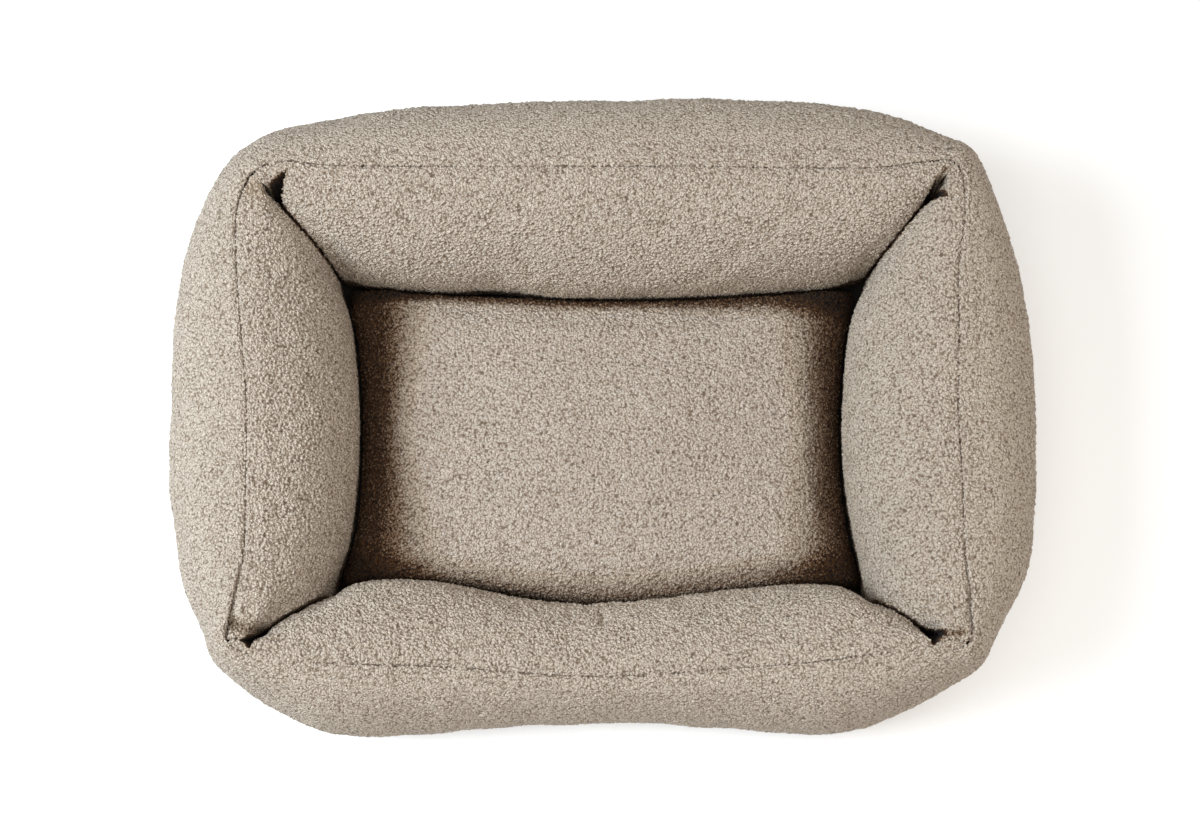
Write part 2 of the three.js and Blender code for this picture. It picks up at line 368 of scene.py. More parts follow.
def keep_shape(shape, piece):
    for face in shape.faces:
        face.smooth = True
    shape.to_mesh(piece.data)
    shape.free()
    piece.data.update()


def refine(piece, shows, cuts, rounds):
    """Cuts up the faces that show, given as a flag for each face, and smooths them"""
    shape = bmesh.new()
    shape.from_mesh(piece.data)
    cut_up(shape, edges_round(shape, shows), cuts)
    relax(shape, rounds)
    keep_shape(shape, piece)


def face_middles(mesh):
    flat = np.empty(len(mesh.polygons) * 3)
    mesh.polygons.foreach_get("center", flat)
    return flat.reshape(-1, 3)


def face_normals(mesh):
    flat = np.empty(len(mesh.polygons) * 3)
    mesh.polygons.foreach_get("normal", flat)
    return flat.reshape(-1, 3)


# Cloth simulation of the stuffed pieces

def fill(piece, held, pressure, slack):
    """Readies a piece to be blown up by its filling; held is how firmly each point stays put"""
    group = piece.vertex_groups.new(name="held")
    for index, weight in enumerate(held):
        if weight > 0.01:
            group.add([index], float(weight), "REPLACE")
    cloth = piece.modifiers.new("filling", "CLOTH")
    settings = cloth.settings
    settings.quality = 4
    settings.mass = 0.25
    settings.tension_stiffness = 18
    settings.compression_stiffness = 12
    settings.shear_stiffness = 8
    settings.bending_stiffness = 3
    settings.air_damping = 4
    settings.use_pressure = True
    settings.uniform_pressure_force = pressure
    settings.shrink_min = -slack
    settings.shrink_max = -slack
    settings.vertex_group_mass = "held"
    settings.pin_stiffness = 1
    settings.effector_weights.gravity = 0
    cloth.collision_settings.use_collision = False
    cloth.collision_settings.use_self_collision = False


FILLING_FRAMES = 20


def blow_up(pieces, caps):
    """Runs the filling of all the pieces, and keeps each point within its cap of where it began"""
    starts = [points_of(piece.data) for piece in pieces]
    for number in range(FILLING_FRAMES):
        scene.frame_set(number + 1)
    for piece, start, cap in zip(pieces, starts, caps):
        settle(piece)
        moved = points_of(piece.data) - start
        far = np.linalg.norm(moved, axis=1)[:, None]
        place_points(piece.data, start + moved * np.minimum(1, cap / np.maximum(far, 1e-9)))
        piece.vertex_groups.clear()
    scene.frame_set(1)


# Node trees

class Value:
    """A number in a node tree. An expression on it adds Math nodes."""

    def __init__(self, tree, socket):
        self.tree = tree
        self.socket = socket

    def math(self, operation, first, second=0.0, clamp=False):
        node = add_node(
            self.tree, "ShaderNodeMath", {"operation": operation, "use_clamp": clamp},
            {0: first, 1: second})
        return Value(self.tree, node.outputs[0])

    def __add__(self, other):
        return self.math("ADD", self, other)

    def __radd__(self, other):
        return self.math("ADD", other, self)

    def __sub__(self, other):
        return self.math("SUBTRACT", self, other)

    def __rsub__(self, other):
        return self.math("SUBTRACT", other, self)

    def __mul__(self, other):
        return self.math("MULTIPLY", self, other)

    def __rmul__(self, other):
        return self.math("MULTIPLY", other, self)

    def __abs__(self):
        return self.math("ABSOLUTE", self)

    def within(self, low, high):
        """0 up to low, 1 from high on, and a straight ramp between them"""
        return self.math("MULTIPLY", self - low, 1 / (high - low), clamp=True)

    def sine(self):
        return self.math("SINE", self)


def add_node(tree, kind, settings=None, values=None):
    """A node of this type, with its settings, and the values or links of its sockets"""
    node = tree.nodes.new(kind)
    for name, setting in (settings or {}).items():
        setattr(node, name, setting)
    for name, value in (values or {}).items():
        socket = node.inputs[name]
        if isinstance(value, Value):
            tree.links.new(value.socket, socket)
        elif isinstance(value, bpy.types.NodeSocket):
            tree.links.new(value, socket)
        else:
            socket.default_value = value
    return node


# The boucle's yarn: loops in a metre of cloth, bends in a metre, and how far they push a loop
LOOPS_PER_METRE = 435
BENDS_PER_METRE = 300
LOOP_BEND = 2.8 * MM
# Height of the lowest loops and how much more the tallest have, how steeply a loop falls to its sides,
# and how far it is from the gaps up to the tips
LOOP_LEAST = 0.6
LOOP_VARIES = 0.8
LOOP_FALL = 1.06
LOOP_DEPTH = 3 * MM


def boucle_relief(tree, place):
    """Height of the looped yarn over the cloth's ground, from 0 in the gaps to 1"""
    bend = add_node(
        tree, "ShaderNodeTexNoise", None,
        {"Vector": place, "Scale": BENDS_PER_METRE, "Detail": 0})
    centred = add_node(
        tree, "ShaderNodeVectorMath", {"operation": "SUBTRACT"},
        {0: bend.outputs["Color"], 1: (0.5, 0.5, 0.5)})
    pushed = add_node(
        tree, "ShaderNodeVectorMath", {"operation": "MULTIPLY_ADD"},
        {0: centred.outputs[0], 1: (LOOP_BEND, LOOP_BEND, LOOP_BEND), 2: place})
    loops = add_node(
        tree, "ShaderNodeTexVoronoi", {"feature": "F1"},
        {"Vector": pushed.outputs[0], "Scale": LOOPS_PER_METRE, "Randomness": 1})
    tall = Value(tree, loops.outputs["Color"]) * LOOP_VARIES + LOOP_LEAST
    return ((1 - Value(tree, loops.outputs["Distance"]) * LOOP_FALL) * tall).within(0, 1)


def raise_loops(piece):
    """Keeps the cloth's points as "cloth", and then moves them out and in with the loops"""
    tree = bpy.data.node_groups.new("boucle relief", "GeometryNodeTree")
    tree.interface.new_socket("Geometry", in_out="INPUT", socket_type="NodeSocketGeometry")
    tree.interface.new_socket("Geometry", in_out="OUTPUT", socket_type="NodeSocketGeometry")
    start = add_node(tree, "NodeGroupInput")
    place = add_node(tree, "GeometryNodeInputPosition").outputs[0]
    normal = add_node(tree, "GeometryNodeInputNormal").outputs[0]
    nap = add_node(
        tree, "GeometryNodeInputNamedAttribute", {"data_type": "FLOAT"}, {"Name": "nap"})
    raised = (boucle_relief(tree, place) - 0.5) * LOOP_DEPTH
    height = raised * Value(tree, nap.outputs["Attribute"])
    kept = add_node(
        tree, "GeometryNodeStoreNamedAttribute", {"data_type": "FLOAT_VECTOR", "domain": "POINT"},
        {"Geometry": start.outputs[0], "Name": "cloth", "Value": place})
    offset = add_node(
        tree, "ShaderNodeVectorMath", {"operation": "SCALE"}, {0: normal, "Scale": height})
    moved = add_node(
        tree, "GeometryNodeSetPosition", None,
        {"Geometry": kept.outputs[0], "Offset": offset.outputs[0]})
    add_node(tree, "NodeGroupOutput", None, {0: moved.outputs[0]})
    loops = piece.modifiers.new("boucle loops", "NODES")
    loops.node_group = tree
    settle(piece)


def keep_weights(piece, name, weights):
    """A number for each point: "nap" is how far the loops stand up, and the shade weight how much
    shade is painted there
    """
    kept = piece.data.attributes.new(name, "FLOAT", "POINT")
    kept.data.foreach_set("value", np.asarray(weights, np.float32))


# Materials

def new_material(name):
    material = bpy.data.materials.new(name)
    material.use_nodes = True
    tree = material.node_tree
    tree.nodes.clear()
    return material, tree


def shade_with(tree, finish):
    """Ends a material in one Principled shader with this finish"""
    surface = add_node(tree, "ShaderNodeBsdfPrincipled", None, finish)
    add_node(tree, "ShaderNodeOutputMaterial", None, {"Surface": surface.outputs[0]})


def noise(tree, place, scale, detail):
    node = add_node(
        tree, "ShaderNodeTexNoise", None, {"Vector": place, "Scale": scale, "Detail": detail})
    return Value(tree, node.outputs[0])


def bumps(tree, height, distance, strength):
    node = add_node(
        tree, "ShaderNodeBump", None,
        {"Strength": strength, "Distance": distance, "Height": height})
    return node.outputs[0]


def srgb(red, green, blue):
    """A colour as a picture shows it, 0 to 255, as the shader's linear light"""
    levels = np.array((red, green, blue)) / 255
    light = np.where(levels <= 0.04045, levels / 12.92, ((levels + 0.055) / 1.055) ** 2.4)
    return (*light, 1)


def mixed(tree, share, first, second, blend="MIX"):
    node = add_node(
        tree, "ShaderNodeMix", {"data_type": "RGBA", "blend_type": blend},
        {0: share, 6: first, 7: second})
    return node.outputs[2]


# Painted shade: what the boucle's colour is multiplied by as less and less light gets to it: from and
# up to which weight of painted shade each tint goes in, and the tint. Soft warm light comes first,
# then deep shade, then a brown of light that only other yarn has thrown back, and last the bottom of a
# pit.
SHADES = (
    (0, 0.2, (1.01, 0.96, 0.89, 1)),
    (0.05, 1, (0.16, 0.15, 0.14, 1)),
    (0.45, 1, (0.78, 0.44, 0.18, 1)),
    (1, 2, (0.12, 0.1, 0.08, 1)),
)
# Painted shade: the tips of the loops stand in more light than the gaps between them
GAPS_PAINTED_SHADE = 1.4
TIPS_CLEAR = 0.75


def boucle_material(name, yarn, shade, gap):
    material, tree = new_material(name)
    place = add_node(tree, "ShaderNodeAttribute", {"attribute_name": "cloth"}).outputs["Vector"]
    hidden = add_node(tree, "ShaderNodeAttribute", {"attribute_name": "hidden"}).outputs["Fac"]
    relief = boucle_relief(tree, place)
    patch = noise(tree, place, 14, 3)
    fibre = noise(tree, place, 900, 2)
    # Painted shade inside the loops: the yarn's colour on the tips, the shade colour lower down and
    # the gap colour in the gaps between them
    lit = mixed(tree, relief.within(0.3, 0.75), shade, yarn)
    gap_shaded = mixed(tree, relief.within(-0.04, 0.43), gap, lit)
    graded = add_node(
        tree, "ShaderNodeVectorMath", {"operation": "SCALE"},
        {0: gap_shaded, "Scale": 0.85 + patch * 0.08 + fibre * 0.24})
    color = graded.outputs[0]
    # Painted shade from the points' shade weight, more in the gaps than on the tips, tints the colour
    # through SHADES
    dim = Value(tree, hidden) * (GAPS_PAINTED_SHADE - relief * TIPS_CLEAR)
    for least, most, tint in SHADES:
        color = mixed(tree, dim.within(least, most), color, tint, "MULTIPLY")
    shade_with(tree, {
        "Base Color": color, "Roughness": 0.95,
        "Normal": bumps(tree, relief + fibre * 0.18, 2.2 * MM, 1),
        "Sheen Weight": 0.05, "Sheen Roughness": 0.6, "Specular IOR Level": 0.1})
    return material


def floor_material():
    """Pale and plain, with a slight glow that keeps it as white as the photograph's ground"""
    material, tree = new_material("studio floor")
    shade_with(tree, {
        "Base Color": (0.9, 0.9, 0.9, 1), "Roughness": 0.9,
        "Emission Color": (1, 1, 1, 1), "Emission Strength": 0.12})
    return material


THREAD_SHADE = srgb(96, 82, 68)


def thread_material(name, color):
    material, tree = new_material(name)
    place = add_node(tree, "ShaderNodeTexCoord").outputs["Object"]
    ply = noise(tree, place, 1200, 2)
    shade_with(tree, {
        "Base Color": mixed(tree, ply.within(0.3, 0.7), color, THREAD_SHADE),
        "Roughness": 0.7, "Normal": bumps(tree, ply, 0.2 * MM, 0.5)})
    return material


THREAD_PITCH = 1.1 * MM
DUST = srgb(88, 80, 72)


def canvas_material(name, light, dark):
    """Plain weave: warp and weft as two sets of threads that go over and under each other"""
    material, tree = new_material(name)
    place = add_node(tree, "ShaderNodeTexCoord").outputs["Object"]
    apart = add_node(tree, "ShaderNodeSeparateXYZ", None, {"Vector": place})
    across = Value(tree, apart.outputs["X"]) * (math.pi / THREAD_PITCH)
    along = Value(tree, apart.outputs["Y"]) * (math.pi / THREAD_PITCH)
    warp = (across * 2).sine()
    weft = (along * 2).sine()
    height = (abs(warp) + abs(weft)) * 0.4 + across.sine() * along.sine() * 0.2
    dust = noise(tree, place, 30, 4)
    woven = mixed(tree, height.within(0.1, 0.8), dark, light)
    shade_with(tree, {
        "Base Color": mixed(tree, dust.within(0.45, 0.8) * 0.35, woven, DUST),
        "Roughness": 0.85, "Normal": bumps(tree, height, 0.3 * MM, 0.6)})
    return material


# Each boucle's colours: the yarn, its painted shade lower in the loops, and the painted shade in the
# gaps
wall_boucle = boucle_material(
    "boucle of the walls", srgb(203, 190, 175), srgb(168, 153, 137), srgb(98, 80, 64))
mattress_boucle = boucle_material(
    "boucle of the mattress", srgb(203, 190, 177), srgb(168, 153, 138), srgb(98, 80, 65))
# The rim seam's thread is dark: partly its own reddish brown, partly the painted shade of the gap in
# the seam
seam_thread = thread_material("thread of the rim seam", srgb(92, 66, 44))
foot_thread = thread_material("thread of the foot seam", srgb(120, 106, 90))
base_canvas = canvas_material("canvas of the base", srgb(58, 53, 48), srgb(24, 21, 18))


# The four bolsters

# Size of the even faces that the filling works on
BOLSTER_EVEN = 6 * MM
MATTRESS_EVEN = 7 * MM
# The groove at the rim seam, the pits at its corners, and how much shade is painted in pits and
# creases
GROOVE_DEEP = 1.9 * MM
GROOVE_WIDE = 2 * MM
PIT_DEEP = 42 * MM
PIT_PAINTED_SHADE = 2.4
CREASE_PAINTED_SHADE = 0.9
# How far the wall's own cloth lies under the band's
UNDER_BAND = 1.2 * MM
# Where a long wall's inner bulge lies further out: wall, middle along x, width and shift, in mm
BULGE_SHIFTS = ((1, -75, 80, -5), (1, 60, 160, -1.5), (3, -118, 36, 4.5))


def even_copy(node, name, size, rounds):
    """A CAD solid's form in even faces, with its edges softened"""
    piece = copy_of_node(node, name)
    make_even(piece, size)
    return relaxed(piece, rounds)


def mitre_gaps(points, index):
    """How far points are from each of a wall's two mitre planes"""
    return [np.abs(from_corner(points, corner)[1]) for corner in corners_of(index)]


def held_of_bolster(piece, index):
    """How firmly the outer band, the base and the neighbours hold each point of a wall"""
    points = points_of(piece.data)
    _, reach = beside_rim(points)
    covered = growing(reach, -14, -2)
    low = fading(points[:, 2], 45, 75)
    ends = fading(np.minimum(*mitre_gaps(points, index)), 3, 14)
    return np.maximum.reduce((covered, low, ends * 0.9))


def shows_of_bolster(piece, index):
    """A flag for each face of a wall that isn't under the band, low down or against a neighbour"""
    middles = face_middles(piece.data)
    normals = face_normals(piece.data)
    _, reach = beside_rim(middles)
    shows = (reach < 3 * MM) & (middles[:, 2] > 66 * MM)
    for corner, gap in zip(corners_of(index), mitre_gaps(middles, index)):
        facing = np.abs(normals[:, :2] @ corner_across[corner])
        shows &= ~((gap < 4 * MM) & (facing > 0.93))
    return shows


def swell_bolster(points, normals, reach, index):
    """The filling's uneven swells, and the place where a long wall's bulge is drawn out"""
    swell = soft_lumps(points, 130 * MM, seed=3 + index) * 1.2 * MM
    swell *= growing(-reach, 10, 60) * growing(points[:, 2], 60, 100)
    swell -= 2 * MM * growing(reach, 1, 8)
    points += normals * swell[:, None]
    for wall, middle, wide, shift in BULGE_SHIFTS:
        if wall == index:
            share = bell(points[:, 0] / MM - middle, wide)
            points[:, 1] += shift * MM * share * growing(-reach, 30, 80)


def follow_seam(points, section, reach, along):
    """Close to the rim seam the panel follows its own round, down into the groove"""
    top = inner_height(section, np.minimum(reach, 0))
    top += seam_puckers(along) * 0.5 * MM * bell(reach, 16 * MM)
    top -= GROOVE_DEEP * bell(reach, GROOVE_WIDE)
    under_band = outer_height(section, np.maximum(reach, 0)) - CLOTH_THICK - UNDER_BAND
    top = np.where(reach > SEAT_GAP, np.minimum(under_band, points[:, 2]), top)
    near = fading(np.abs(reach), 16, 34) * fading(section[:, 4] - points[:, 2], 14, 30)
    points[:, 2] += (top - points[:, 2]) * near
    return top


def close_corner(points, section, reach, top, high, corner):
    """Closes a corner's lip, sinks its pit, and tells how much shade to paint in its pit and crease"""
    inwards, aside = from_corner(points, corner)
    shift = CREASE_SHIFTS[corner] * growing(inwards, 0, 25) * fading(inwards, 85, 130)
    shift *= bell(aside, 50 * MM)

    # Between seam and pit the two walls' cloth meets in a closed lip
    far = (inwards - LIPS[corner]) / MM
    lip = (1 - smoothstep(far, -4, 1)) * growing(inwards, 0, 4)
    lip *= (np.abs(aside) < 16 * MM) * (section[:, 4] - points[:, 2] < 22 * MM)
    drawn = aside * (1 - lip * fading(np.abs(aside), 1.5, 11))
    points[:, :2] += corner_across[corner] * (drawn - aside + shift)[:, None]
    points[:, 2] += np.maximum(top - points[:, 2], 0) * lip * (reach < SEAT_GAP)

    # The pit, and the crease that runs on from it, both with painted shade
    inside = inside_by(points, PITS[corner])
    points[:, 2] -= PIT_DEEP * growing(inside, -2.5, 2.5) * high
    crease = fading(np.abs(aside), 0.8, 3) * smoothstep(far, 0, 8)
    return np.maximum(PIT_PAINTED_SHADE * growing(inside, -4, 0.5) * high, crease * CREASE_PAINTED_SHADE)


def finish_bolster(piece, index):
    """Sets the swells of the filling, the rim seam, the lips and pits at the corners and the folds"""
    points = points_of(piece.data)
    nearest, reach = beside_rim(points)
    section = rim_sections[nearest]
    swell_bolster(points, normals_of(piece.data), reach, index)
    top = follow_seam(points, section, reach, rim_distances[nearest])
    high = growing(points[:, 2], 110, 150)
    hidden = np.zeros(len(points))
    for corner in corners_of(index):
        hidden = np.maximum(hidden, close_corner(points, section, reach, top, high, corner))
    # Each fold sinks, and shade is painted into it
    for start, end, wide, deep, dark in FOLDS:
        fold = bell(from_line(points, start, end), wide * MM) * high
        points[:, 2] -= deep * MM * fold
        hidden = np.maximum(hidden, dark * fold)
    place_points(piece.data, points)
    # Painted shade on the walls' low parts by the mattress, and a faint painted shade that fades out
    # higher up
    low = 0.8 * fading(points[:, 2], 50, 84)
    dusk = 0.12 * fading(points[:, 2], 85, 155)
    keep_weights(piece, "hidden", np.maximum.reduce((hidden, low, dusk)))
    keep_weights(piece, "nap", (reach < 1 * MM) * growing(points[:, 2], 7, 14))


bolsters = [even_copy("bolster_" + wall, "stuffed_" + wall, BOLSTER_EVEN, 4) for wall in WALLS]


# The mattress

mattress = even_copy("mattress", "filled_mattress", MATTRESS_EVEN, 1)

NEST_MIDDLE = (-2 * MM, -14.5 * MM)
# Half the mattress's length and width, and about how far its back and its front are from the middle
# once they bow, all in millimetres
HALF_LONG = 266
HALF_WIDE = 163.5
TO_BACK = 155
TO_FRONT = 178
# How far the sides bow, in millimetres: the short ones out at their ends, the front out in its middle
# and the back in, each over this half length
ENDS_OUT = 13
FRONT_OUT = 21
BACK_IN = 12
BOW_HALF_LONG = 272
# The powers of the rounded rectangle that the mattress is, and of the squarer one that it becomes
ROUND_POWER = 18
SQUARE_POWER = 60
# Its painted shade under the walls goes no darker than this
MOST_PAINTED_SHADE = 1.6
# The mattress's side is drawn to this far from the walls, but not out by more than the most, as
# measured at these heights in this many directions
NEST_CLEARANCE = 1.5 * MM
MOST_WIDENED = 14 * MM
SIDE_HEIGHTS = (35 * MM, 48 * MM, 60 * MM)
SECTORS = 360


def room_of(angle):
    """How far it is from the nest's middle to the walls, this way"""
    way = Vector((math.cos(angle), math.sin(angle), 0))
    hits = [wall_tree.ray_cast(Vector((*NEST_MIDDLE, height)), way)[3] for height in SIDE_HEIGHTS]
    return min(hit for hit in hits if hit)


def reach_walls(points):
    """Widens or narrows the mattress's side to lie close against the walls all round"""
    plan = points[:, :2] - np.array(NEST_MIDDLE)
    turns = np.arctan2(plan[:, 1], plan[:, 0])
    from_middle = np.hypot(*plan.T)
    angles = (np.arange(SECTORS) + 0.5) * 2 * math.pi / SECTORS - math.pi
    sector = np.clip(((turns + math.pi) / (2 * math.pi) * SECTORS).astype(int), 0, SECTORS - 1)
    outline = np.zeros(SECTORS)
    np.maximum.at(outline, sector, from_middle)
    room = np.array([room_of(angle) for angle in angles])
    growth = np.minimum(room - NEST_CLEARANCE, outline + MOST_WIDENED) / outline
    growth = sum(np.roll(growth, shift) for shift in (-2, -1, 0, 1, 2)) / 5
    growth = np.interp(turns, angles, growth, period=2 * math.pi)
    edge = np.interp(turns, angles, outline, period=2 * math.pi)
    share = smoothstep(from_middle / edge, 0.7, 0.97)
    points[:, :2] += plan * ((growth - 1) * share)[:, None]


def square_corners(points, half):
    """Draws the mattress's round corners out, and its long sides with them"""
    plan = points[:, :2] - np.array(NEST_MIDDLE)
    size = np.abs(plan / half).clip(1e-6)
    round_share = (size ** ROUND_POWER).sum(axis=1) ** (1 / ROUND_POWER)
    square_share = (size ** SQUARE_POWER).sum(axis=1) ** (1 / SQUARE_POWER)
    long_sides = smoothstep(size[:, 1] - size[:, 0], -0.1, 0.1)
    fuller = (0.025 + 0.035 * long_sides) * (1 - smoothstep(round_share, 0.88, 1))
    grown = round_share / square_share * (1 + fuller * smoothstep(round_share, 0.55, 0.87))
    points[:, :2] += plan * (grown - 1)[:, None]


def finish_mattress(piece):
    """Squares its corners, lets the short sides slope down under the walls, and paints the walls'
    shade on its sides
    """
    points = points_of(piece.data)
    normals = normals_of(piece.data)
    swell = soft_lumps(points, 160 * MM, seed=21) * 1.1 * MM * growing(points[:, 2], 50, 80)
    points += normals * swell[:, None]
    plan = points[:, :2] - np.array(NEST_MIDDLE)
    bow = np.cos(np.clip(plan[:, 0] / (BOW_HALF_LONG * MM), -1, 1) * math.pi / 2)
    half = np.column_stack((
        HALF_LONG + ENDS_OUT * (plan[:, 1] / (HALF_WIDE * MM)) ** 2,
        HALF_WIDE + np.where(plan[:, 1] < 0, FRONT_OUT * bow ** 4, -BACK_IN * bow ** 2))) * MM
    square_corners(points, half)
    reach_walls(points)
    share = (points[:, :2] - np.array(NEST_MIDDLE)) / half
    size = np.abs(share)
    from_left = (share[:, 0] + 1) * HALF_LONG * MM
    from_right = (1 - share[:, 0]) * HALF_LONG * MM
    from_back = (1 - share[:, 1]) * TO_BACK * MM
    from_front = (1 + share[:, 1]) * TO_FRONT * MM
    drop = 14 * fading(from_left, 0, 55) + 12 * fading(from_right, 0, 45)
    points[:, 2] -= drop * MM * growing(points[:, 2], 36, 60)
    place_points(piece.data, points)

    # The walls' shade is painted on it: full up to one distance from its edge, and ending at a longer
    # one
    to_right = smoothstep(share[:, 0], 0.1, 0.85)
    left_wide = 70 + np.where(share[:, 1] < 0, 58, 32) * size[:, 1]
    shaded = (
        fading(from_left, 17, left_wide)
        + 0.95 * fading(from_right, 0, 72 + 30 * size[:, 1])
        + fading(from_back, 5 + 4 * to_right, 21 + 20 * to_right)
        + 0.62 * fading(from_front, 0, 36 + 24 * size[:, 0] ** 5))
    keep_weights(piece, "hidden", np.minimum(shaded, MOST_PAINTED_SHADE))
    keep_weights(piece, "nap", growing(points[:, 2], 20, 45))


# How hard the filling presses, how much the cloth gives, and how far it may swell
BOLSTER_PRESSURE = 4
MATTRESS_PRESSURE = 3
CLOTH_SLACK = 0.005
BOLSTER_SWELL = 7 * MM
MATTRESS_SWELL = 5 * MM
# Below this height nothing is seen of the mattress
MATTRESS_SHOWS_FROM = 38 * MM

for index, piece in enumerate(bolsters):
    fill(piece, held_of_bolster(piece, index), BOLSTER_PRESSURE, CLOTH_SLACK)
held = fading(points_of(mattress.data)[:, 2], 40, 75)
fill(mattress, held, MATTRESS_PRESSURE, CLOTH_SLACK)
blow_up([*bolsters, mattress], [BOLSTER_SWELL] * len(bolsters) + [MATTRESS_SWELL])

# The stuffed walls as one mesh, for the mattress to find them by
wall_points = []
wall_faces = []
for piece in bolsters:
    first = len(wall_points)
    wall_points += [tuple(point) for point in points_of(piece.data)]
    wall_faces += [[first + corner for corner in face.vertices] for face in piece.data.polygons]
wall_tree = bvhtree.BVHTree.FromPolygons(wall_points, wall_faces)

for index, piece in enumerate(bolsters):
    refine(piece, shows_of_bolster(piece, index), cuts=3, rounds=3)
    finish_bolster(piece, index)
    raise_loops(piece)
    piece.data.materials.clear()
    piece.data.materials.append(wall_boucle)

refine(mattress, face_middles(mattress.data)[:, 2] > MATTRESS_SHOWS_FROM, cuts=3, rounds=2)
finish_mattress(mattress)
raise_loops(mattress)
mattress.data.materials.clear()
mattress.data.materials.append(mattress_boucle)


# The outer band: one sheet of cloth from the rim seam down to the foot, closed round the bed

# Size of its faces along the rim, and how much longer the way round the bulge is than round the rim
BAND_STEP = 8 * MM
BULGE_LONGER = 1.12
# Its first rows as shares of its length down from the rim seam, and how many rows there are in all
BAND_TOP_ROWS = (0.0, 0.009, 0.02, 0.036)
BAND_OUTER_ROWS = 36
BAND_INNER_ROWS = 12
# The core of a section, as shares of the bulge's reach and of the seam's height
CORE_REACH = 0.3
CORE_HEIGHT = 0.55


def outer_line(section, shares):
    """Reach and height of the outer panel at these shares of its length, and that length"""
    angle = np.linspace(0, math.pi / 2, 90)
    sine = np.sin(angle)
    cosine = np.append(np.cos(angle[:-1]), 0)
    rim, out, out_z = section[4:7]
    foot = out - FOOT_TUCK * (out_z / FOOT_TUCK_Z) ** 3
    reach = np.concatenate((
        out * sine ** (2 / ROUND_OUTER),
        foot + (out - foot) * cosine[1:] ** (2 / ROUND_FOOT)))
    height = np.concatenate((
        out_z + (rim - out_z) * cosine ** (2 / ROUND_OUTER),
        out_z - (out_z - SEAT) * sine[1:] ** (2 / ROUND_FOOT)))
    run = np.concatenate(([0], np.cumsum(np.hypot(np.diff(reach), np.diff(height)))))
    wanted = np.asarray(shares) * run[-1]
    return np.interp(wanted, run, reach), np.interp(wanted, run, height), run[-1]


def band_loop(section, way, outer_shares, inner_shares):
    """One section of the band as a closed line: down its outer face, and back up its inner one"""
    reach, height, _ = outer_line(section, outer_shares)
    back_reach, back_height, _ = outer_line(section, inner_shares)
    slope = np.gradient(back_height)
    level = np.gradient(back_reach)
    size = np.maximum(np.hypot(slope, level), 1e-9)
    back_reach = back_reach - CLOTH_THICK * np.abs(slope) / size
    back_height = back_height + CLOTH_THICK * np.abs(level) / size * np.sign(-level + 1e-9)
    reach[0] = SEAT_GAP
    back_reach[-1] = SEAT_GAP
    back_height[-1] = height[0] - CLOTH_THICK
    back_height[0] = SEAT
    reach = np.concatenate((reach, back_reach))
    height = np.maximum(np.concatenate((height, back_height)), SEAT)
    return np.column_stack((section[0] + way[0] * reach, section[1] + way[1] * reach, height))


def band_piece():
    """A grid rolled up both ways: its columns go round the bed, its rows round a section"""
    count = round(RIM_LENGTH * BULGE_LONGER / BAND_STEP)
    even = np.linspace(BAND_TOP_ROWS[-1], 1, BAND_OUTER_ROWS - len(BAND_TOP_ROWS) + 2)
    outer_shares = np.concatenate((BAND_TOP_ROWS[:-1], even))
    inner_shares = np.linspace(1, 0, BAND_INNER_ROWS)
    around = len(outer_shares) + len(inner_shares)
    sections = sections_at(np.arange(count) * RIM_LENGTH / count)
    loops = [
        band_loop(section, way, outer_shares, inner_shares)
        for section, way in zip(sections, ways_of(sections))]
    shape = bmesh.new()
    bmesh.ops.create_grid(shape, x_segments=count, y_segments=around, size=0.5)
    for vert in shape.verts:
        column = round((vert.co.x + 0.5) * count) % count
        row = round((vert.co.y + 0.5) * around) % around
        vert.co = loops[column][row]
    bmesh.ops.remove_doubles(shape, verts=shape.verts, dist=SAME_PLACE)
    bmesh.ops.recalc_face_normals(shape, faces=shape.faces)
    return new_piece("outer_cover", shape)


def outside_of_band(places, normals):
    """A flag for each face or point of the band that looks away from the core of the wall"""
    nearest, _ = beside_rim(places)
    section = rim_sections[nearest]
    core_reach = section[:, 5] * CORE_REACH
    core = np.column_stack((
        section[:, :2] + rim_ways[nearest] * core_reach[:, None], section[:, 4] * CORE_HEIGHT))
    return ((places - core) * normals).sum(axis=1) > 0


def refine_band(piece):
    """Cuts the outside finely where the photograph shows it, and less finely below the bulge"""
    middles = face_middles(piece.data)
    outside = outside_of_band(middles, face_normals(piece.data))
    nearest, _ = beside_rim(middles)
    high = middles[:, 2] > rim_sections[nearest, 6] - 22 * MM
    shape = bmesh.new()
    shape.from_mesh(piece.data)
    upper = edges_round(shape, outside & high)
    lower = edges_round(shape, outside & ~high) - upper
    cut_up(shape, upper, 2)
    cut_up(shape, lower, 1)
    keep_shape(shape, piece)


def finish_band(piece):
    """The filling's swells, the puckers along the rim seam and the groove at it"""
    points = points_of(piece.data)
    normals = normals_of(piece.data)
    nearest, reach = beside_rim(points)
    along = rim_distances[nearest]
    outside = outside_of_band(points, normals)
    down = np.hypot(reach, rim_sections[nearest, 4] - points[:, 2])
    swell = soft_lumps(points, 160 * MM, seed=41) * 1.1 * MM
    swell *= growing(down, 15, 70) * growing(points[:, 2], 8, 45)
    pucker = seam_puckers(along) * 0.6 * MM * bell(down, 18 * MM)
    drape = soft_waves(along, 60 * MM, 200 * MM, seed=12) * 0.6 * MM
    drape *= growing(points[:, 2], 5, 30) * growing(down, 10, 40)
    points += normals * ((swell + drape + pucker) * outside)[:, None]
    points[:, 2] -= GROOVE_DEEP * 0.8 * bell(reach, GROOVE_WIDE) * (down < 12 * MM)
    place_points(piece.data, points)
    # Painted shade at the band's foot, next to the floor
    keep_weights(piece, "hidden", 0.5 * fading(points[:, 2], 4, 24))
    keep_weights(piece, "nap", outside * growing(points[:, 2], 5, 12))


band = band_piece()
refine_band(band)
finish_band(band)
raise_loops(band)
band.data.materials.append(wall_boucle)

